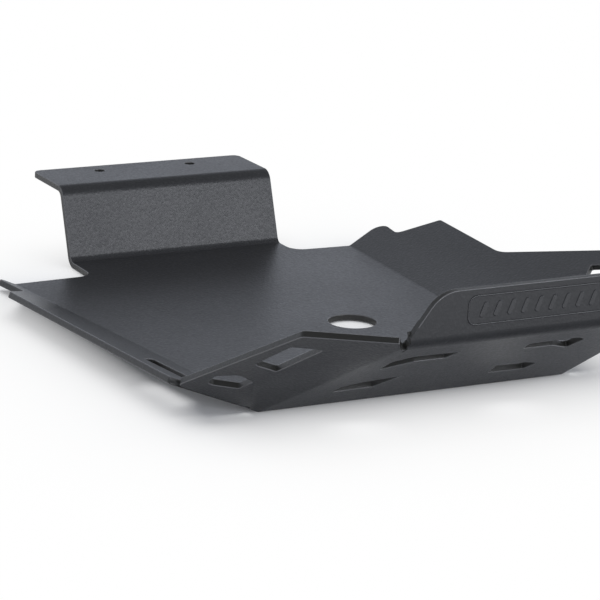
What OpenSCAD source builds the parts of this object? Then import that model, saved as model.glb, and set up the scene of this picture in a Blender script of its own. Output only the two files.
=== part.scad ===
// Motorcycle skid plate (engine guard): one blank of thick aluminium sheet, cut and folded.
// A flat floor carries a rising ramp with a short upright lip at the front, a shallow side wall and a
// folded corner wing on each side, and a Z-shaped mounting flange with two bolt holes at the rear.
// X points to the right seen from behind the lip, Y to the rear of the motorcycle, Z up.
// The plate lies on the underside of its floor. Folds are given by the lines where the inner faces meet.

/* [Sheet] */
// Sheet thickness
sheet_t = 4; // [3:0.5:5]
// Inner radius of every fold
bend_r = 5; // [3:0.5:7]
// Radius of the round stress reliefs where cuts end at a fold
relief_r = 2.5; // [1.5:0.5:3.5]
// Width of the slit between a side wall and its corner wing
slit_w = 2.4; // [2:0.2:4]

/* [Floor] */
// Length of the floor from the front fold to the rear edge at the right side
floor_l = 287; // [270:1:300]
// Half width of the floor at the front fold
floor_front_hw = 99.5; // [94:0.5:105]
// Half width of the floor at the right rear corner
floor_right_hw = 118; // [110:0.5:126]
// Half width of the floor at the left rear corner
floor_left_hw = 131.5; // [118:0.5:136]
// How much further forward the left rear edge lies than the right one
left_rear_cut = 13; // [5:1:18]
// Rise of the rear edges towards the web, from the corner inwards
rear_edge_sweep = 2.5; // [0:0.5:5]
// Radius where the rear edges run into the tongue below the web
tongue_r = 10; // [6:1:12]

/* [Drain hole] */
// Diameter of the oil drain access hole
drain_d = 30; // [24:1:36]
// Offset of the drain hole to the right of the middle plane
drain_x = 31; // [20:1:45]
// Distance of the drain hole behind the front fold
drain_y = 127.5; // [100:0.5:160]

/* [Rear mounting flange] */
// Width of the web and the flange
web_w = 153; // [140:1:164]
// Distance of the web's lower fold behind the front fold
web_y = 311; // [306:1:320]
// Angle of the web above the horizontal
web_rise = 69.5; // [60:0.5:80]
// Length of the web between its two folds, measured on the front face
web_l = 49; // [40:0.5:60]
// Depth of the level flange, from its fold to the back edge
flange_l = 48; // [44:1:56]
// Radius of the flange's back corners
flange_r = 5; // [4:1:12]
// Diameter of the two bolt holes
bolt_d = 7; // [5:0.5:9]
// Spacing of the two bolt holes
bolt_spacing = 67; // [55:1:80]
// Distance of the bolt holes behind the flange's fold
bolt_back = 35; // [28:1:37]

/* [Ramp and lip] */
// Angle of the ramp above the horizontal
ramp_rise = 30; // [26:0.5:34]
// Length of the ramp between its two folds
ramp_l = 136.5; // [130:0.5:142]
// Half width of the ramp at the lip
ramp_top_hw = 80; // [76:0.5:86]
// Angle of the lip above the horizontal
lip_rise = 88; // [75:1:95]
// Height of the lip above its fold
lip_h = 26.7; // [20:0.1:32]
// Half width of the lip along its upper edge
lip_top_hw = 60.5; // [50:0.5:66]
// Radius of the lip's upper corners
lip_r = 20; // [6:1:24]

/* [Side walls] */
// Rise of the left side wall above the horizontal
left_rise = 21; // [18:0.5:23]
// Width of the left wall's rear tab
left_tab_w = 9; // [8:0.5:16]
// Width of the left wall at its rear shoulder
left_shoulder_w = 35.5; // [30:0.5:42]
// Width of the left wall at its front end
left_front_w = 53; // [48:0.5:58]
// Rise of the right side wall above the horizontal
right_rise = 24; // [20:0.5:26]
// Width of the right wall's rear tab
right_tab_w = 29.5; // [20:0.5:34]
// Width of the right wall at its rear shoulder
right_shoulder_w = 56; // [50:0.5:62]
// Width of the right wall at the tall ear near the front
right_ear_w = 104; // [90:1:110]

/* [Corner wings] */
// Rise of each wing above the plane of the ramp
wing_rise = 23; // [18:0.5:26]
// Width of the wing at the slit
wing_rear_w = 51; // [48:0.5:56]
// Width of the wing at its front corner
wing_front_w = 43.5; // [38:0.5:48]
// Place of the wing's front corner along the crease
wing_front_s = 108.5; // [95:0.5:115]
// Width of the wing at the notch beside the lip
wing_end_w = 5; // [4:0.5:8]
// Place of the wing's end along the crease, at the notch beside the lip
wing_end_s = 142.3; // [139:0.1:144]

/* [Vents] */
// Middle line of the four ramp vents, from the middle plane
vent_mid_x = -9.5; // [-14:0.5:0]
// Scale of the vent outlines about their own middles
vent_scale = 1; // [0.8:0.05:1.1]

/* [Hidden] */
$fn = 64;
big = 500;
over = 3;
flat_angle = 5;
arc_steps = 6;
reach = 12;

function unit(v) = v / norm(v);
function sum(v, i = 0) = i < len(v) ? v[i] + sum(v, i + 1) : v[0] * 0;

// Points of an arc of radius r in the corner b between its neighbours a and c
function arc(a, b, c, r) =
    let (u = unit(a - b), v = unit(c - b), half = acos(u * v) / 2,
         mid = b + unit(u + v) * r / sin(half),
         p = b + u * r / tan(half) - mid, q = b + v * r / tan(half) - mid, turn = 180 - 2 * half)
    [for (i = [0 : arc_steps])
        mid + (p * sin(turn * (1 - i / arc_steps)) + q * sin(turn * i / arc_steps)) / sin(turn)];

// Outline from corners [x, y, radius]; a radius of 0 stays sharp
function rounded(c) =
    let (n = len(c), flat = [for (k = c) [k[0], k[1]]])
    [for (i = [0 : n - 1])
        each (c[i][2] > 0 ? arc(flat[(i + n - 1) % n], flat[i], flat[(i + 1) % n], c[i][2]) : [flat[i]])];

// The same corners, scaled about their own middle
function scaled(c, k) =
    let (mid = sum(c) / len(c)) [for (q = c) [mid[0] + (q[0] - mid[0]) * k, mid[1] + (q[1] - mid[1]) * k, q[2] * k]];

// Directions of the panels. side is 1 for the right and -1 for the left.
up = [0, 0, 1];
right = [1, 0, 0];
rear = [0, 1, 0];
front_mid = [0, 0, sheet_t];
left_l = floor_l - left_rear_cut;
function is_right(side) = side > 0;
function wall_l(side) = is_right(side) ? floor_l : left_l;
function wall_rise(side) = is_right(side) ? right_rise : left_rise;
function splay(side) = ((is_right(side) ? floor_right_hw : floor_left_hw) - floor_front_hw) / wall_l(side);
function corner(side) = [side * floor_front_hw, 0, sheet_t];
function wall_fold(side) = unit([side * splay(side), 1, 0]);
function wall_level(side) = let (f = wall_fold(side)) side * [f[1], -f[0], 0];
function wall_out(side) = wall_level(side) * cos(wall_rise(side)) + up * sin(wall_rise(side));
function wall_normal(side) = up * cos(wall_rise(side)) - wall_level(side) * sin(wall_rise(side));

ramp_up = [0, -cos(ramp_rise), sin(ramp_rise)];
ramp_normal = [0, sin(ramp_rise), cos(ramp_rise)];
ramp_top = front_mid + ramp_up * ramp_l;
function crease_end(side) = ramp_top + right * side * ramp_top_hw;
function crease(side) = unit(crease_end(side) - corner(side));
function wing_level(side) = -side * cross(crease(side), ramp_normal);
function wing_out(side) = wing_level(side) * cos(wing_rise) + ramp_normal * sin(wing_rise);
function wing_normal(side) = ramp_normal * cos(wing_rise) - wing_level(side) * sin(wing_rise);

// The seam, where the plane of a side wall meets the plane of its wing
function seam(side) =
    let (q = unit(cross(wall_normal(side), wing_normal(side)))) q * (q[0] * side > 0 ? 1 : -1);
function seam_on_wall(side, w) = let (q = seam(side)) w * (q * wall_fold(side)) / (q * wall_out(side));
function seam_on_wing(side, w) = let (q = seam(side)) w * (q * crease(side)) / (q * wing_out(side));

lip_up = [0, -cos(lip_rise), sin(lip_rise)];
web_up = [0, cos(web_rise), sin(web_rise)];
web_normal = [0, -sin(web_rise), cos(web_rise)];
web_foot = front_mid + rear * web_y;
web_top = web_foot + web_up * web_l;
flange_foot = web_top - (web_normal + up) * sheet_t / (2 * pow(cos(web_rise / 2), 2));

// Places along the side walls and wings, each [out from the fold, along the fold, corner radius]
left_wall = [
    [left_front_w, seam_on_wall(-1, left_front_w), 3], [left_shoulder_w, 224, 4], [left_tab_w, 250, 3],
    [left_tab_w + 0.5, left_l + 12, 3], [0, left_l + 1.5, 0]];
right_wall = [
    [54, seam_on_wall(1, 54), 6], [right_ear_w, 55, 12], [right_ear_w, 89, 10], [55.2, 171, 25],
    [right_shoulder_w, 255.5, 3], [right_tab_w - 0.9, 270, 6], [right_tab_w + 0.9, 296.5, 8], [0, floor_l + 0.8, 0]];

// Vent outlines, each [across, along, corner radius]
upper_vent = [[22, 111, 1], [25, 98, 1], [44, 98, 4], [60, 87, 1], [61, 105, 5], [52, 113, 8]];
lower_vent = [[31, 60, 1], [38, 36, 1], [62, 34.5, 1], [63, 49, 5], [52, 55, 6]];
rear_wing_vent = [[26, 19, 2], [41, 10, 3], [44, 24, 5], [36, 36, 4], [26, 34, 1.5]];
front_wing_vent = [[26, 57, 1.5], [39, 55, 3], [39.5, 92, 4], [26, 103, 1]];
left_wall_vent = [[36, 68, 1], [23, 78, 1], [23, 34, 4], [36, 27, 2]];
right_wall_vent = [[80, 94, 1], [68, 82, 2], [70, 52, 4], [84, 46, 2], [90, 78, 4]];

// Local frame with its origin at p and its first two axes along ex and ey
module frame(p, ex, ey) {
    ez = cross(ex, ey);
    multmatrix([[ex[0], ey[0], ez[0], p[0]], [ex[1], ey[1], ez[1], p[1]], [ex[2], ey[2], ez[2], p[2]], [0, 0, 0, 1]])
        children();
}

// Space on the hollow side of a fold. away runs from the fold into the first panel, normal stands on that
// panel's hollow face, bend is the angle of the fold and r the radius in it, which is laid out in short flats.
module fold_space(p, away, normal, bend, r) {
    flats = ceil(bend / flat_angle);
    mid = [bend_r * tan(bend / 2), bend_r];
    last = mid - r * [sin(bend), cos(bend)];
    far = last + big * [-cos(bend), sin(bend)];
    frame(p, away, normal)
        linear_extrude(2 * big, center = true)
            polygon(concat(
                [[big, mid[1] - r], [big, big], [far[0], big], far],
                [for (i = [0 : flats]) let (a = bend * (1 - i / flats)) mid - r * [sin(a), cos(a)]]));
}

// Prism through a panel with the given outline, square to its plane
module panel(p, ex, ey, outline)
    frame(p, ex, ey) linear_extrude(2 * reach, center = true) polygon(outline);

// Space above the floor, the ramp, both side walls and both wings, whose shallow folds meet at the corners
module pan_space(r)
    intersection() {
        fold_space(front_mid, rear, up, ramp_rise, r);
        intersection_for (side = [1, -1])
            fold_space(corner(side), -wall_level(side), up, wall_rise(side), r);
        intersection_for (side = [1, -1])
            fold_space(corner(side), -wing_level(side), ramp_normal, wing_rise, r);
    }

module floor_panel() {
    hw = web_w / 2;
    panel(front_mid, right, rear, rounded([
        [floor_front_hw + over, -over, 0],
        [floor_right_hw + over, floor_l, 0],
        [hw, floor_l + rear_edge_sweep, tongue_r],
        [hw, web_y - 2 * over, 0],
        [-hw, web_y - 2 * over, 0],
        [-hw, left_l + rear_edge_sweep, tongue_r],
        [-floor_left_hw - over, left_l, 0],
        [-floor_front_hw - over, -over, 0]]));
}

module ramp_panel()
    panel(front_mid, right, ramp_up, [
        [-floor_front_hw - over, -over], [floor_front_hw + over, -over],
        [ramp_top_hw + over, ramp_l - 2 * over], [-ramp_top_hw - over, ramp_l - 2 * over]]);

module wall_panel(side) {
    outline = is_right(side) ? right_wall : left_wall;
    panel(corner(side), wall_out(side), wall_fold(side),
        rounded(concat([[-over, -1, 0], [0, -1, 0]], outline, [[-over, outline[len(outline) - 1][1], 0]])));
}

module wing_panel(side)
    panel(corner(side), wing_out(side), crease(side),
        rounded([
            [-over, -1, 0], [0, -1, 0], [wing_rear_w, seam_on_wing(side, wing_rear_w), 4],
            [wing_front_w, wing_front_s, 6], [wing_end_w, wing_end_s, 0], [0, ramp_l, 0], [-over, ramp_l, 0]]));

module pan() {
    difference() {
        intersection() {
            pan_space(bend_r + sheet_t);
            union() {
                floor_panel();
                ramp_panel();
                for (side = [1, -1]) {
                    wall_panel(side);
                    wing_panel(side);
                }
            }
        }
        pan_space(bend_r);
    }
}

// Sheet along one fold, kept inside its children
module folded(p, away, normal, bend)
    difference() {
        intersection() {
            fold_space(p, away, normal, bend, bend_r + sheet_t);
            children();
        }
        fold_space(p, away, normal, bend, bend_r);
    }

module web() {
    hw = web_w / 2 + over;
    folded(web_foot, -rear, up, web_rise)
        union() {
            panel(web_foot, right, rear, [[-hw, -4 * over], [hw, -4 * over], [hw, over], [-hw, over]]);
            panel(web_foot, right, web_up, [[-hw, -over], [hw, -over], [hw, web_l / 2], [-hw, web_l / 2]]);
        }
}

module flange() {
    hw = web_w / 2;
    wide = hw + over;
    low = -web_l / 2 - over;
    folded(flange_foot, -web_up, -web_normal, web_rise)
        union() {
            panel(web_top, right, web_up, [[-wide, low], [wide, low], [wide, over], [-wide, over]]);
            panel(web_top, right, rear, rounded([
                [-hw, -over, 0], [hw, -over, 0], [hw, flange_l, flange_r], [-hw, flange_l, flange_r]]));
        }
}

// The Z at the rear, with both sides cut in one plane
module rear_mount()
    difference() {
        union() {
            web();
            flange();
        }
        for (side = [1, -1])
            translate([side * (web_w / 2 + reach), web_y, 0]) cube([2 * reach, big, big], center = true);
    }

// The ramp's part of the lip is a little narrower, and lies within the wings' folds
module lip() {
    foot_hw = ramp_top_hw - 1;
    ramp_hw = foot_hw - 1;
    folded(ramp_top, -ramp_up, ramp_normal, lip_rise - ramp_rise)
        union() {
            panel(ramp_top, right, ramp_up, [
                [-ramp_hw, -4 * over], [ramp_hw, -4 * over], [ramp_hw, over], [-ramp_hw, over]]);
            panel(ramp_top, right, lip_up, rounded([
                [-foot_hw, -over, 0], [foot_hw, -over, 0], [foot_hw, 1.4, 0], [lip_top_hw, lip_h, lip_r],
                [-lip_top_hw, lip_h, lip_r], [-foot_hw, 1.4, 0]]));
        }
}

module slit(side) {
    q = seam(side);
    m = unit(wall_normal(side) + wing_normal(side));
    frame(corner(side), q, m) {
        translate([3 * relief_r, -reach, -slit_w / 2]) cube([big / 4, 2 * reach, slit_w]);
        translate([3 * relief_r, 0, 0]) rotate([90, 0, 0]) cylinder(2 * reach, r = relief_r, center = true);
    }
}

module crease_relief(side) {
    outward = unit(ramp_up + lip_up);
    frame(crease_end(side) + outward * relief_r, right, outward) cylinder(2 * reach, r = relief_r, center = true);
}

module vents() {
    for (side = [1, -1]) {
        panel(front_mid + right * vent_mid_x, right * side, ramp_up, rounded(scaled(upper_vent, vent_scale)));
        panel(front_mid + right * vent_mid_x, right * side, ramp_up, rounded(scaled(lower_vent, vent_scale)));
        panel(corner(side), wing_out(side), crease(side), rounded(scaled(rear_wing_vent, vent_scale)));
        panel(corner(side), wing_out(side), crease(side), rounded(scaled(front_wing_vent, vent_scale)));
    }
    panel(corner(-1), wall_out(-1), wall_fold(-1), rounded(scaled(left_wall_vent, vent_scale)));
    panel(corner(1), wall_out(1), wall_fold(1), rounded(scaled(right_wall_vent, vent_scale)));
}

module bores() {
    translate([drain_x, drain_y, 0]) cylinder(4 * sheet_t, d = drain_d, center = true);
    translate(web_top + rear * bolt_back)
        for (x = [-1, 1]) translate([x * bolt_spacing / 2, 0, 0]) cylinder(4 * sheet_t, d = bolt_d, center = true);
}

module skid_plate() {
    color([0.16, 0.16, 0.17])
        translate([0, -floor_l / 2, 0])
            difference() {
                union() {
                    pan();
                    rear_mount();
                    lip();
                }
                for (side = [1, -1]) {
                    slit(side);
                    crease_relief(side);
                }
                vents();
                bores();
            }
}

skid_plate();
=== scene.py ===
"""Dresses the skid plate: its textured powder coat, its eased cut edges, the relief on its lip, and a pale studio."""

import math

import bmesh
import bpy
from bpy.props import FloatProperty, FloatVectorProperty, IntProperty, PointerProperty
from mathutils import Matrix, Vector


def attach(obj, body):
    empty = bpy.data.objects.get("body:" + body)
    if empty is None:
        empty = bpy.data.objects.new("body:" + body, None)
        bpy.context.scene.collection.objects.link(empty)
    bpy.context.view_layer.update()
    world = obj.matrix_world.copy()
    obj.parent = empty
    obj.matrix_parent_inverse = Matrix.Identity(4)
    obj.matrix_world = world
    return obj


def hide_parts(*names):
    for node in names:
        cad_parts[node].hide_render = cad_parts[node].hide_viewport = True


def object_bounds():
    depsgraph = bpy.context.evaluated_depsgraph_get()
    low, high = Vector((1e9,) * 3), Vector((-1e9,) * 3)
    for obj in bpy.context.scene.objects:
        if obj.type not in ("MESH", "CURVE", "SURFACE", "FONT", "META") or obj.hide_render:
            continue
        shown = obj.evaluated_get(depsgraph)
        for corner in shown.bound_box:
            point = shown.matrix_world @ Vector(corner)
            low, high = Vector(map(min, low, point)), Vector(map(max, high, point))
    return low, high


bl_info = {
    "name": "Skid Plate Dressing",
    "version": (1, 0, 0),
    "blender": (4, 5, 0),
    "location": "3D View > Sidebar > Skid Plate",
    "description": "Dresses a folded sheet skid plate in textured powder coat and lights it in a pale studio",
    "category": "Object",
}

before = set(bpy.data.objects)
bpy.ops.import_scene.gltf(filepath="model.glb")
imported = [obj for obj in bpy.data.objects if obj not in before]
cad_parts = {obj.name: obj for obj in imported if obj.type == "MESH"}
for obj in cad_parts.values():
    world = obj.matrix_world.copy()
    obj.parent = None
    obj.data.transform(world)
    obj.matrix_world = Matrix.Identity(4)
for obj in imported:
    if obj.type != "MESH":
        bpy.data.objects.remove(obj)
CAD_LOW, CAD_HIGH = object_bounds()
PLATE_NODE = "skid_plate"
BODY = "root"

# Where the lip's fold ends on the right side. The left end mirrors it.
NOTCH_MIDDLE = Vector((0.0785, -0.2617, 0.0712))
# Vertices closer than this are one vertex
MERGE = 2e-6
# Faces that turn less than this are one flat
FLAT_TURN = math.radians(0.3)
# Edges that turn less than this are shaded as one curve
SMOOTH_TURN = math.radians(38)
# How many widths of the eased corner a cut face needs beside it
EASE_ROOM = 2.4
# Faces of the solid whose normal has at least this much of straight forward belong to the lip's front
FORWARD = 0.99
# How much less rough the coat is on the lip's relief, and how far its colour is blended toward the painted edge
# highlight
RELIEF_SMOOTH_AND_HIGHLIGHT = 0.14


# Sizes and colours


class SkidPlateShape(bpy.types.PropertyGroup):
    edge_ease: FloatProperty(
        name="Edge ease",
        description="Width of the soft corner that deburring and coating leave along each cut edge",
        default=0.0005,
        unit="LENGTH",
    )
    edge_steps: IntProperty(name="Edge steps", description="Strips across an eased edge", default=3, min=1)
    sharp_angle: FloatProperty(
        name="Sharp angle",
        description="Edges that turn further than this are cut edges, and the rest are parts of a bend",
        default=math.radians(33),
        subtype="ANGLE",
    )
    least_edge: FloatProperty(
        name="Least edge",
        description="Edges shorter than this are closed up before the cut edges are eased",
        default=0.00014,
        unit="LENGTH",
    )
    notch_reach: FloatProperty(
        name="Notch reach",
        description="How far round the end of the lip's fold the cut corners stay sharp",
        default=0.0075,
        unit="LENGTH",
    )
    least_cut: FloatProperty(
        name="Least cut",
        description="Cut faces with less area than this, in square metres, keep their sharp edges",
        default=6e-6,
    )
    rib_count: IntProperty(name="Ribs", description="Slanted ribs in the lip's relief", default=9, min=2)
    rib_pitch: FloatProperty(
        name="Rib pitch", description="From one rib of the relief to the next", default=0.0086, unit="LENGTH"
    )
    rib_width: FloatProperty(name="Rib width", description="Width of a rib", default=0.0034, unit="LENGTH")
    rib_height: FloatProperty(
        name="Rib height", description="How tall a rib is up the lip", default=0.0095, unit="LENGTH"
    )
    rib_slant: FloatProperty(
        name="Rib slant", description="How far a rib's top stands beside its foot", default=0.0036, unit="LENGTH"
    )
    relief: FloatProperty(
        name="Relief", description="How far the ribs stand out of the lip", default=0.0004, unit="LENGTH"
    )
    border_height: FloatProperty(
        name="Border height", description="Height of the fine line round the ribs", default=0.0158, unit="LENGTH"
    )
    border_line: FloatProperty(
        name="Border line", description="Thickness of the fine line round the ribs", default=0.0011, unit="LENGTH"
    )


class SkidPlateFinish(bpy.types.PropertyGroup):
    coat: FloatVectorProperty(
        name="Coat",
        description="Colour of the powder coat",
        default=(0.0225, 0.0232, 0.0252),
        subtype="COLOR",
        size=3,
    )
    coat_pale: FloatVectorProperty(
        name="Coat, pale",
        description="Colour on the crests of the coat's grain",
        default=(0.0370, 0.0376, 0.0402),
        subtype="COLOR",
        size=3,
    )
    cut_tone: FloatVectorProperty(
        name="Cut tone",
        description="Warmer colour of the coat on the sheet's cut faces",
        default=(0.019, 0.0185, 0.0160),
        subtype="COLOR",
        size=3,
    )
    # Painted highlight: a pale colour blended along the eased edges, standing in for the glint of the lights there
    edge_highlight: FloatVectorProperty(
        name="Edge tone",
        description="Colour where the coat thins over a cut edge",
        default=(0.15, 0.15, 0.155),
        subtype="COLOR",
        size=3,
    )
    roughness: FloatProperty(
        name="Roughness", description="Roughness of the coat between its grains", default=0.37, subtype="FACTOR"
    )
    grain: FloatProperty(
        name="Grain", description="Size of one grain of the coat's texture", default=0.0015, unit="LENGTH"
    )
    grain_depth: FloatProperty(
        name="Grain depth", description="Depth of the coat's texture", default=0.00025, unit="LENGTH"
    )


class SkidPlateStudio(bpy.types.PropertyGroup):
    target: FloatVectorProperty(
        name="Target",
        description="Point in the middle of the picture",
        default=(0.022764, 0.03679, 0.004),
        subtype="TRANSLATION",
        size=3,
    )
    distance: FloatProperty(
        name="Distance", description="From the camera to the target", default=1.83422, unit="LENGTH"
    )
    turn: FloatProperty(
        name="Turn",
        description="How far the camera stands round to the left of the front",
        default=math.radians(28.95),
        subtype="ANGLE",
    )
    height: FloatProperty(
        name="Height",
        description="Angle at which the camera looks down",
        default=math.radians(15.91),
        subtype="ANGLE",
    )
    roll: FloatProperty(
        name="Roll", description="How far the camera is rolled", default=math.radians(2.59), subtype="ANGLE"
    )
    lens: FloatProperty(name="Lens", description="Focal length in millimetres", default=174.98)
    floor_colour: FloatVectorProperty(
        name="Floor", description="Colour of the studio floor", default=(0.9, 0.9, 0.9), subtype="COLOR", size=3
    )
    shadow_reach: FloatProperty(
        name="Shadow reach", description="How fast the plate's shadow fades to white", default=0.036, unit="LENGTH"
    )
    floor_size: FloatProperty(name="Floor size", description="Width of the studio floor", default=14.0, unit="LENGTH")


# Shader maths


class Level:
    """A number on a node tree. Sums written with it add Math nodes."""

    def __init__(self, tree, socket):
        self.tree, self.socket = tree, socket

    def _math(self, operation, first, second, clamp=False):
        made = self.tree.nodes.new("ShaderNodeMath")
        made.operation, made.use_clamp = operation, clamp
        for place, value in zip(made.inputs, (first, second)):
            feed(self.tree, place, value)
        return Level(self.tree, made.outputs[0])

    def __add__(self, other):
        return self._math("ADD", self, other)

    def __sub__(self, other):
        return self._math("SUBTRACT", self, other)

    def __rsub__(self, other):
        return self._math("SUBTRACT", other, self)

    def __mul__(self, other):
        return self._math("MULTIPLY", self, other)

    def __truediv__(self, other):
        return self._math("DIVIDE", self, other)

    def __pow__(self, other):
        return self._math("POWER", self, other)

    def __rpow__(self, other):
        return self._math("POWER", other, self)

    __radd__, __rmul__ = __add__, __mul__

    def held(self):
        """The same number, kept between 0 and 1."""
        return self._math("ADD", self, 0.0, clamp=True)

    def size(self):
        """The same number without its sign."""
        return self._math("ABSOLUTE", self, 0.0)

    def above(self, floor=0.0):
        """The same number, but never less than floor."""
        return self._math("MAXIMUM", self, floor)


def feed(tree, place, value):
    """Puts a link or a plain value on an input socket."""
    if isinstance(value, Level):
        tree.links.new(value.socket, place)
    elif isinstance(value, bpy.types.NodeSocket):
        tree.links.new(value, place)
    else:
        place.default_value = value


def socket_named(sockets, name):
    """A socket by its number, its identifier or its name."""
    if isinstance(name, int):
        return sockets[name]
    usable = [socket for socket in sockets if not socket.is_unavailable]
    for socket in usable:
        if socket.identifier == name:
            return socket
    for socket in usable:
        if socket.name == name:
            return socket
    raise RuntimeError("no socket called " + name)


class Shading:
    """The node tree of a material or of the world, with one way to add a node."""

    def __init__(self, owner):
        owner.use_nodes = True
        self.tree = owner.node_tree
        self.tree.nodes.clear()

    def node(self, kind, settings=None, sockets=None, out=0):
        """Adds a node, sets it up, fills its sockets, and returns the named output."""
        made = self.tree.nodes.new("ShaderNode" + kind)
        for name, value in (settings or {}).items():
            if name == "stops":
                self._stops(made.color_ramp, value)
            else:
                setattr(made, name, value)
        for name, value in (sockets or {}).items():
            feed(self.tree, socket_named(made.inputs, name), value)
        socket = socket_named(made.outputs, out)
        return Level(self.tree, socket) if socket.type == "VALUE" else socket

    @staticmethod
    def _stops(ramp, stops):
        while len(ramp.elements) < len(stops):
            ramp.elements.new(1.0)
        for element, (place, colour) in zip(ramp.elements, stops):
            element.position, element.color = place, colour

    def blend(self, amount, first, second):
        """Mixes two colours."""
        return self.node(
            "Mix",
            {"data_type": "RGBA"},
            {"Factor_Float": amount, "A_Color": first, "B_Color": second},
            out="Result_Color",
        )

    def finish(self, kind, surface):
        end = self.tree.nodes.new(kind)
        self.tree.links.new(surface, end.inputs["Surface"])


def rgba(colour):
    return (*colour, 1.0)


def powder_coat(name, finish, smooth_and_highlight=0.0):
    """Fine textured powder coat: dark grain with paler crests, uneven gloss, and a painted highlight, a pale colour
    along eased edges.
    """
    coat = bpy.data.materials.new(name)
    shading = Shading(coat)
    place = shading.node("TexCoord", out="Object")
    grain = shading.node(
        "TexNoise",
        {"noise_dimensions": "3D"},
        {"Vector": place, "Scale": 1.0 / finish.grain, "Detail": 2.5, "Roughness": 0.6},
    )
    pits = shading.node(
        "TexVoronoi",
        {"feature": "SMOOTH_F1"},
        {"Vector": place, "Scale": 0.8 / finish.grain, "Smoothness": 0.7, "Randomness": 1.0},
        out="Distance",
    )
    drift = shading.node("TexNoise", {}, {"Vector": place, "Scale": 16.0, "Detail": 3.0, "Roughness": 0.55})
    eased, cut = (
        shading.node("Attribute", {"attribute_type": "GEOMETRY", "attribute_name": name}, out="Fac")
        for name in ("eased", "cut_face")
    )

    skin = grain * 0.65 + (1.0 - pits) * 0.35
    # The crests of the grain are paler, and so are broad patches
    crest = ((skin - 0.5) * 3.2).held()
    tone = (crest * 0.75 + (drift - 0.42) * 0.5).held()
    colour = shading.blend(tone, rgba(finish.coat), rgba(finish.coat_pale))
    colour = shading.blend((cut * 0.8).held(), colour, rgba(finish.cut_tone))
    # Painted highlight: eased edges, and the whole relief by its share, are blended toward the pale edge highlight
    # colour
    colour = shading.blend((eased * 0.8 + smooth_and_highlight * 0.6).held(), colour, rgba(finish.edge_highlight))
    # Crests and eased edges are less rough, and cut faces a little rougher
    roughness = (
        finish.roughness - smooth_and_highlight + (drift - 0.5) * 0.10 + (0.5 - skin) * 0.24 + cut * 0.04 - eased * 0.22
    )
    bump = shading.node(
        "Bump",
        {},
        {"Height": skin, "Distance": finish.grain_depth, "Strength": 0.8 * (1.0 - smooth_and_highlight * 2.0)},
    )
    surface = shading.node(
        "BsdfPrincipled",
        {},
        {"Base Color": colour, "Roughness": roughness, "Normal": bump},
    )
    shading.finish("ShaderNodeOutputMaterial", surface)
    return coat


# Making pieces


def settings():
    scene = bpy.context.scene
    return scene.skid_plate_shape, scene.skid_plate_finish, scene.skid_plate_studio


def place_piece(name, mesh, material):
    mesh.name = name
    mesh.materials.clear()
    mesh.materials.append(material)
    piece = bpy.data.objects.new(name, mesh)
    bpy.context.scene.collection.objects.link(piece)
    return piece


def settled(piece):
    """Turns a piece's modifiers into plain mesh, and takes them off."""
    graph = bpy.context.evaluated_depsgraph_get()
    mesh = bpy.data.meshes.new_from_object(piece.evaluated_get(graph))
    piece.modifiers.clear()
    old, piece.data = piece.data, mesh
    mesh.name = old.name
    bpy.data.meshes.remove(old)
    return piece


def skins(work, turn):
    """The faces of the sheet's two skins, reached from its two largest faces over edges that hardly turn."""
    reached = set(sorted(work.faces, key=lambda face: -face.calc_area())[:2])
    waiting = list(reached)
    while waiting:
        for edge in waiting.pop().edges:
            if edge.is_manifold and edge.calc_face_angle() < turn:
                fresh = [face for face in edge.link_faces if face not in reached]
                reached.update(fresh)
                waiting.extend(fresh)
    return reached


def cut_faces(work, turn, least):
    """The faces that the laser cut: all but the skins, without specks smaller than the least area."""
    left = set(work.faces) - skins(work, turn)
    kept = set()
    while left:
        island = {left.pop()}
        waiting = list(island)
        while waiting:
            beside = {face for edge in waiting.pop().edges for face in edge.link_faces} & left
            left -= beside
            island |= beside
            waiting.extend(beside)
        if sum(face.calc_area() for face in island) > least:
            kept |= island
    return kept


def wide_enough(edge, faces, least):
    """Whether the cut faces beside an edge are deep enough, seen across it, to take an eased corner."""
    foot, along = edge.verts[0].co, (edge.verts[1].co - edge.verts[0].co).normalized()
    for face in faces.intersection(edge.link_faces):
        if max((vertex.co - foot - along * (vertex.co - foot).dot(along)).length for vertex in face.verts) < least:
            return False
    return True


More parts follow.
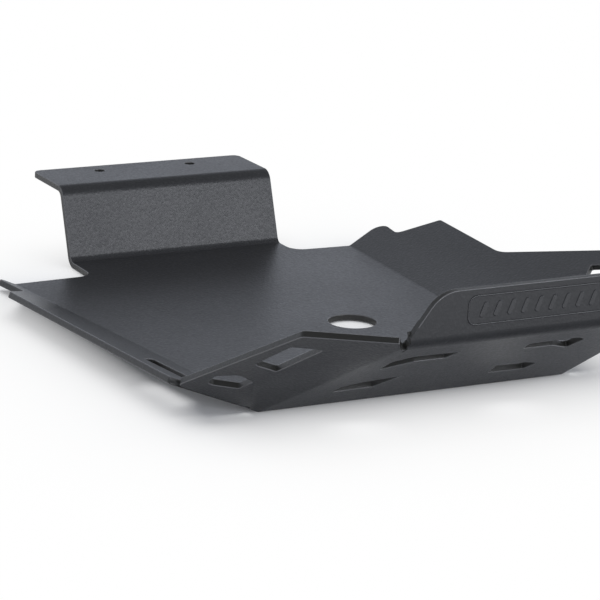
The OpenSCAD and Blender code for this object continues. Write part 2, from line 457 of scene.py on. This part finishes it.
def folded_sheet(shape):
    """The sheet with its cut edges eased, marked where it is cut and where it is eased."""
    work = bmesh.new()
    work.from_mesh(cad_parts[PLATE_NODE].data)
    sign = work.faces.layers.int.new("cut")
    eased, bare = (work.loops.layers.float.new(name) for name in ("eased", "cut_face"))
    bmesh.ops.remove_doubles(work, verts=work.verts, dist=MERGE)
    bmesh.ops.dissolve_limit(work, angle_limit=FLAT_TURN, verts=work.verts, edges=work.edges)
    short = [edge for edge in work.edges if edge.calc_length() < shape.least_edge]
    bmesh.ops.collapse(work, edges=short)
    bmesh.ops.dissolve_degenerate(work, dist=shape.least_edge / 4, edges=work.edges)
    bmesh.ops.delete(work, geom=[edge for edge in work.edges if edge.is_wire], context="EDGES")
    cut = cut_faces(work, shape.sharp_angle, shape.least_cut)
    for face in cut:
        face[sign] = 1
    notches = [Vector((side * NOTCH_MIDDLE.x, NOTCH_MIDDLE.y, NOTCH_MIDDLE.z)) for side in (-1, 1)]

    def in_notch(vertex):
        return any((vertex.co - notch).length < shape.notch_reach for notch in notches)

    for edge in [edge for edge in work.edges if edge.calc_length() > shape.notch_reach * 2]:
        for vertex in [vertex for vertex in edge.verts if in_notch(vertex)]:
            bmesh.utils.edge_split(edge, vertex, shape.notch_reach / edge.calc_length())
    corners = [
        edge
        for edge in work.edges
        if edge.is_manifold
        and edge.calc_face_angle() > shape.sharp_angle
        and cut.intersection(edge.link_faces)
        and wide_enough(edge, cut, shape.edge_ease * EASE_ROOM)
        and not any(in_notch(vertex) for vertex in edge.verts)
    ]
    made = bmesh.ops.bevel(
        work,
        geom=corners,
        offset=shape.edge_ease,
        offset_type="OFFSET",
        segments=shape.edge_steps,
        profile=0.5,
        affect="EDGES",
        clamp_overlap=False,
        loop_slide=True,
    )
    strips = set(made["faces"])
    for vertex in work.verts:
        plain = [face[sign] for face in vertex.link_faces if face not in strips]
        for loop in vertex.link_loops:
            on_strip = loop.face in strips
            loop[eased] = float(on_strip and not plain)
            loop[bare] = float(loop.face[sign]) if not on_strip else sum(plain) / len(plain) if plain else 0.5
    for face in work.faces:
        face.smooth = True
    for edge in work.edges:
        edge.smooth = not edge.is_manifold or edge.calc_face_angle() < SMOOTH_TURN
    for vertex in work.verts:
        if strips.intersection(vertex.link_faces) and not all(edge.smooth for edge in vertex.link_edges):
            for edge in vertex.link_edges:
                if strips.intersection(edge.link_faces):
                    edge.smooth = False
    if any(not edge.is_manifold for edge in work.edges):
        raise RuntimeError("the eased sheet is open")
    work.faces.layers.int.remove(sign)
    mesh = bpy.data.meshes.new("plate")
    work.to_mesh(mesh)
    work.free()
    return mesh


def lip_frame():
    """The middle of the lip's outward face, with axes along the lip, up it, and out of it."""
    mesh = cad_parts[PLATE_NODE].data
    flats = {}
    for face in mesh.polygons:
        if face.normal.y < -FORWARD:
            key = round(face.center.dot(face.normal), 4)
            flats.setdefault(key, []).append(face)
    best = max(flats.values(), key=lambda faces: sum(face.area for face in faces))
    out = best[0].normal.normalized()
    up = Vector((0, -out.z, out.y)).normalized()
    if up.z < 0:
        up.negate()
    points = [mesh.vertices[i].co for face in best for i in face.vertices]
    foot = min(point.dot(up) for point in points)
    top = max(point.dot(up) for point in points)
    across = up.cross(out)
    middle = out * points[0].dot(out) + up * (foot + top) / 2
    return Matrix((across, up, out)).transposed(), middle


def relief_tree(material):
    """Slanted ribs in a row, with a fine rounded line round them, laid on a plane that is given by turn and place."""
    tree = bpy.data.node_groups.new("lip relief", "GeometryNodeTree")
    kinds = {"Ribs": "NodeSocketInt", "Turn": "NodeSocketVector", "Place": "NodeSocketVector"}
    for name in (
        "Ribs",
        "Pitch",
        "Width",
        "Height",
        "Slant",
        "Relief",
        "Border height",
        "Border line",
        "Turn",
        "Place",
    ):
        tree.interface.new_socket(name, in_out="INPUT", socket_type=kinds.get(name, "NodeSocketFloat"))
    tree.interface.new_socket("Geometry", in_out="OUTPUT", socket_type="NodeSocketGeometry")
    given = tree.nodes.new("NodeGroupInput").outputs

    def node(kind, sockets, out=0, **fields):
        made = tree.nodes.new(kind)
        for name, value in fields.items():
            setattr(made, name, value)
        for name, value in sockets.items():
            place = socket_named(made.inputs, name)
            for item in value if isinstance(value, list) else [value]:
                feed(tree, place, item)
        return made.outputs[out]

    def maths(operation, first, second):
        return node("ShaderNodeMath", {0: first, 1: second}, operation=operation)

    def vector(x, y, z):
        return node("ShaderNodeCombineXYZ", {0: x, 1: y, 2: z})

    # Each rib starts inside the lip, by 0.6 of the relief, and ends one relief above its face
    sunk = maths("MULTIPLY", given["Relief"], -0.6)
    rise = maths("MULTIPLY", given["Relief"], 1.6)
    outline = node(
        "GeometryNodeCurvePrimitiveQuadrilateral",
        {"Width": given["Width"], "Height": given["Height"], "Offset": given["Slant"]},
        mode="PARALLELOGRAM",
    )
    rib_round = maths("MULTIPLY", given["Width"], 0.42)
    rounded = node(
        "GeometryNodeFilletCurve",
        {"Curve": outline, "Count": 6, "Radius": rib_round, "Limit Radius": True},
        mode="POLY",
    )
    sheet = node("GeometryNodeFillCurve", {"Curve": rounded}, mode="NGONS")
    extruded = tree.nodes.new("GeometryNodeExtrudeMesh")
    feed(tree, extruded.inputs["Mesh"], sheet)
    feed(tree, extruded.inputs["Offset Scale"], rise)
    crown = node(
        "GeometryNodeScaleElements",
        {"Geometry": extruded.outputs["Mesh"], "Selection": extruded.outputs["Top"], "Scale": 0.82},
        domain="FACE",
    )
    back = node("GeometryNodeFlipFaces", {"Mesh": sheet})
    closed = node("GeometryNodeJoinGeometry", {0: [crown, back]})
    bar = node("GeometryNodeMergeByDistance", {"Geometry": closed, "Distance": 1e-6})

    reach = maths("MULTIPLY", maths("SUBTRACT", given["Ribs"], 1), maths("MULTIPLY", given["Pitch"], 0.5))
    row = node(
        "GeometryNodeMeshLine",
        {
            "Count": given["Ribs"],
            "Start Location": vector(maths("MULTIPLY", reach, -1), 0, sunk),
            "Offset": vector(reach, 0, sunk),
        },
        mode="END_POINTS",
    )
    ribs = node("GeometryNodeInstanceOnPoints", {"Points": row, "Instance": bar})

    border_width = maths("MULTIPLY", given["Pitch"], maths("ADD", given["Ribs"], 1.2))
    border = node(
        "GeometryNodeCurvePrimitiveQuadrilateral",
        {"Width": border_width, "Height": given["Border height"]},
        mode="RECTANGLE",
    )
    border_round = maths("MULTIPLY", given["Border height"], 0.3)
    border = node(
        "GeometryNodeFilletCurve",
        {"Curve": border, "Count": 10, "Radius": border_round, "Limit Radius": True},
        mode="POLY",
    )
    wire = node(
        "GeometryNodeCurvePrimitiveCircle",
        {"Resolution": 12, "Radius": maths("MULTIPLY", given["Border line"], 0.5)},
        mode="RADIUS",
    )
    line = node("GeometryNodeCurveToMesh", {"Curve": border, "Profile Curve": wire})
    whole = node("GeometryNodeJoinGeometry", {0: [ribs, line]})
    laid = node(
        "GeometryNodeTransform", {"Geometry": whole, "Rotation": given["Turn"], "Translation": given["Place"]}
    )
    solid = node("GeometryNodeRealizeInstances", {"Geometry": laid})
    coated = node("GeometryNodeSetMaterial", {"Geometry": solid, "Material": material})
    feed(tree, tree.nodes.new("NodeGroupOutput").inputs[0], coated)
    return tree


def run_tree(piece, tree, values):
    """Adds the tree to a piece as a modifier, with each input set by its socket's identifier."""
    modifier = piece.modifiers.new(tree.name, "NODES")
    modifier.node_group = tree
    for item in tree.interface.items_tree:
        if item.item_type == "SOCKET" and item.in_out == "INPUT" and item.name in values:
            modifier[item.identifier] = values[item.name]


# Operators


class SKIDPLATE_OT_plate(bpy.types.Operator):
    """Dress the folded plate: ease its cut edges and coat it"""

    bl_idname = "skidplate.plate"
    bl_label = "Dress plate"

    def execute(self, context):
        shape, finish, _ = settings()
        piece = place_piece("plate", folded_sheet(shape), powder_coat("powder coat", finish))
        even = piece.modifiers.new("Flat faces stay flat", "WEIGHTED_NORMAL")
        even.mode = "FACE_AREA"
        even.weight = 50
        even.keep_sharp = True
        settled(piece)
        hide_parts(PLATE_NODE)
        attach(piece, BODY)
        return {"FINISHED"}


class SKIDPLATE_OT_relief(bpy.types.Operator):
    """Lay the row of slanted ribs on the lip's outward face"""

    bl_idname = "skidplate.relief"
    bl_label = "Add lip relief"

    def execute(self, context):
        shape, finish, _ = settings()
        coat = powder_coat("powder coat, relief", finish, smooth_and_highlight=RELIEF_SMOOTH_AND_HIGHLIGHT)
        piece = place_piece("lip_relief", bpy.data.meshes.new("lip_relief"), coat)
        turn, middle = lip_frame()
        run_tree(
            piece,
            relief_tree(coat),
            {
                "Ribs": shape.rib_count,
                "Pitch": shape.rib_pitch,
                "Width": shape.rib_width,
                "Height": shape.rib_height,
                "Slant": shape.rib_slant,
                "Relief": shape.relief,
                "Border height": shape.border_height,
                "Border line": shape.border_line,
                "Turn": tuple(turn.to_euler()),
                "Place": tuple(middle),
            },
        )
        settled(piece)
        if not piece.data.polygons:
            raise RuntimeError("the lip relief came out empty")
        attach(piece, BODY)
        return {"FINISHED"}


def studio_floor(studio):
    """A pale floor that keeps the plate's shadow, and turns to plain white away from the flat that stands on it.

    A strip of it in front of the ramp is painted dark to mirrored rays only: painted shade that the lip's fold
    reflects, in place of the shade under and in front of the lip.
    """
    # The flat that stands on the floor: its middle and its half sizes
    middle, half = Vector((-0.007, 0.0)), Vector((0.122, 0.140))
    # Where the floor starts to brighten to mirrored rays, and over what distance
    far_start, far_width = 0.42, 0.45
    # The painted shade strip's middle along Y, its half depth and its soft rim
    strip_y, strip_half, strip_rim = -0.325, 0.055, 0.02
    gap = 0.0004
    size = studio.floor_size / 2
    under = CAD_LOW.z - gap
    mesh = bpy.data.meshes.new("studio_floor")
    mesh.from_pydata(
        [(-size, -size, under), (size, -size, under), (size, size, under), (-size, size, under)], [], [(0, 1, 2, 3)]
    )
    paint = bpy.data.materials.new("studio floor")
    shading = Shading(paint)
    place = shading.node("TexCoord", out="Object")
    away = shading.node("VectorMath", {"operation": "LENGTH"}, {0: place}, out="Value")
    across, along = (shading.node("SeparateXYZ", {}, {"Vector": place}, out=axis) for axis in "XY")
    past_side = ((across - middle.x).size() - half.x).above()
    past_end = ((along - middle.y).size() - half.y).above()
    beside = (past_side**2 + past_end**2) ** 0.5
    mottle = shading.node("TexNoise", {}, {"Vector": place, "Scale": 2.5, "Detail": 2.0})
    colour = shading.blend(mottle, rgba(studio.floor_colour), rgba([c * 0.985 for c in studio.floor_colour]))
    pale = shading.node("BsdfDiffuse", {}, {"Color": colour})
    painted_shade = shading.node("BsdfDiffuse", {}, {"Color": (0.02, 0.02, 0.02, 1)})
    white = shading.node("Emission", {}, {"Color": (1, 1, 1, 1), "Strength": 1.0})
    camera, gloss, through = (
        shading.node("LightPath", out=name) for name in ("Is Camera Ray", "Is Glossy Ray", "Is Transmission Ray")
    )
    far = ((away - far_start) / far_width).held()
    near = 1.0 - 2.718 ** (beside / -studio.shadow_reach)
    lifted = camera * (0.95 * near + 0.05) + (gloss + through) * far * 0.6
    strip = (1.0 - ((along - strip_y).size() - strip_half).above() / strip_rim).held()
    # Painted shade: mirrored rays that meet the strip see a near-black diffuse instead of the pale floor
    matt = shading.node("MixShader", {}, {0: (gloss * strip * 0.9).held(), 1: pale, 2: painted_shade})
    surface = shading.node("MixShader", {}, {0: lifted.held(), 1: matt, 2: white})
    shading.finish("ShaderNodeOutputMaterial", surface)
    floor = place_piece("studio_floor", mesh, paint)


def studio_world():
    """White at the horizon and greyer overhead, and plain white where the camera sees it."""
    world = bpy.context.scene.world or bpy.data.worlds.new("studio")
    bpy.context.scene.world = world
    shading = Shading(world)
    split = shading.node("TexCoord", out="Generated")
    height = shading.node("SeparateXYZ", {}, {"Vector": split}, out="Z")
    dome = shading.node(
        "ValToRGB",
        {
            "stops": [
                (0.0, (0.86, 0.90, 1.0, 1)),
                (0.30, (0.70, 0.745, 0.84, 1)),
                (0.55, (0.25, 0.26, 0.28, 1)),
                (1.0, (0.04, 0.04, 0.04, 1)),
            ]
        },
        {"Fac": height},
        out="Color",
    )
    seen = shading.node("LightPath", out="Is Camera Ray")
    colour = shading.blend(seen, dome, (1, 1, 1, 1))
    surface = shading.node("Background", {}, {"Color": colour, "Strength": 1.0})
    shading.finish("ShaderNodeOutputWorld", surface)


def softbox(name, place, aim, size, radiance, mirrored=True):
    """A rectangular soft light at a place, turned to a point; radiance is how bright its face is."""
    light = bpy.data.lights.new(name, "AREA")
    light.shape = "RECTANGLE"
    light.size, light.size_y = size
    light.energy = radiance * math.pi * size[0] * size[1]
    light.color = (0.93, 0.95, 1.0) if mirrored else (1.0, 1.0, 1.0)
    lamp = bpy.data.objects.new(name, light)
    bpy.context.scene.collection.objects.link(lamp)
    lamp.location = place
    lamp.visible_glossy = mirrored
    lamp.rotation_euler = (Vector(aim) - Vector(place)).to_track_quat("-Z", "Y").to_euler()


def studio_camera(studio):
    turn, height, roll = studio.turn, studio.height, studio.roll
    ahead = Vector(
        (math.sin(turn) * math.cos(height), math.cos(turn) * math.cos(height), -math.sin(height))
    )
    right = Vector((math.cos(turn), -math.sin(turn), 0))
    up = right.cross(ahead)
    across = right * math.cos(roll) + up * math.sin(roll)
    upright = up * math.cos(roll) - right * math.sin(roll)
    lens = bpy.data.cameras.new("studio_camera")
    lens.lens, lens.sensor_width = studio.lens, 36.0
    lens.clip_end = 50
    camera = bpy.data.objects.new("studio_camera", lens)
    bpy.context.scene.collection.objects.link(camera)
    place = Matrix((across, upright, -ahead)).transposed().to_4x4()
    place.translation = Vector(studio.target) - ahead * studio.distance
    camera.matrix_world = place
    bpy.context.scene.camera = camera


class SKIDPLATE_OT_studio(bpy.types.Operator):
    """Set up the pale floor, the soft lights and the camera"""

    bl_idname = "skidplate.studio"
    bl_label = "Set up studio"

    def execute(self, context):
        studio = settings()[2]
        studio_floor(studio)
        studio_world()
        softbox("overhead", (0.1, 0.3, 1.6), (0.0, 0.0, 0.0), (2.0, 1.8), 1.9, mirrored=False)
        softbox("front", (0.7, -1.85, 0.72), (0.0, 0.1, 0.02), (2.0, 0.9), 3.65)
        studio_camera(studio)
        context.scene.view_settings.view_transform = "Standard"
        return {"FINISHED"}


class SKIDPLATE_PT_panel(bpy.types.Panel):
    """Lists the steps that dress the plate, with their sizes and colours"""

    bl_label = "Skid Plate"
    bl_idname = "SKIDPLATE_PT_panel"
    bl_space_type = "VIEW_3D"
    bl_region_type = "UI"
    bl_category = "Skid Plate"

    def draw(self, context):
        for group in settings():
            box = self.layout.box()
            for name in group.__annotations__:
                box.prop(group, name)
        for operator in OPERATORS:
            self.layout.operator(operator.bl_idname)


GROUPS = {
    "skid_plate_shape": SkidPlateShape,
    "skid_plate_finish": SkidPlateFinish,
    "skid_plate_studio": SkidPlateStudio,
}
OPERATORS = (SKIDPLATE_OT_plate, SKIDPLATE_OT_relief, SKIDPLATE_OT_studio)


def register():
    for name, group in GROUPS.items():
        bpy.utils.register_class(group)
        setattr(bpy.types.Scene, name, PointerProperty(type=group))
    for made in (*OPERATORS, SKIDPLATE_PT_panel):
        bpy.utils.register_class(made)


def unregister():
    for made in (SKIDPLATE_PT_panel, *reversed(OPERATORS)):
        bpy.utils.unregister_class(made)
    for name, group in GROUPS.items():
        delattr(bpy.types.Scene, name)
        bpy.utils.unregister_class(group)


def main():
    register()
    bpy.ops.skidplate.plate()
    bpy.ops.skidplate.relief()
    bpy.ops.skidplate.studio()


if __name__ == "__main__":
    main()
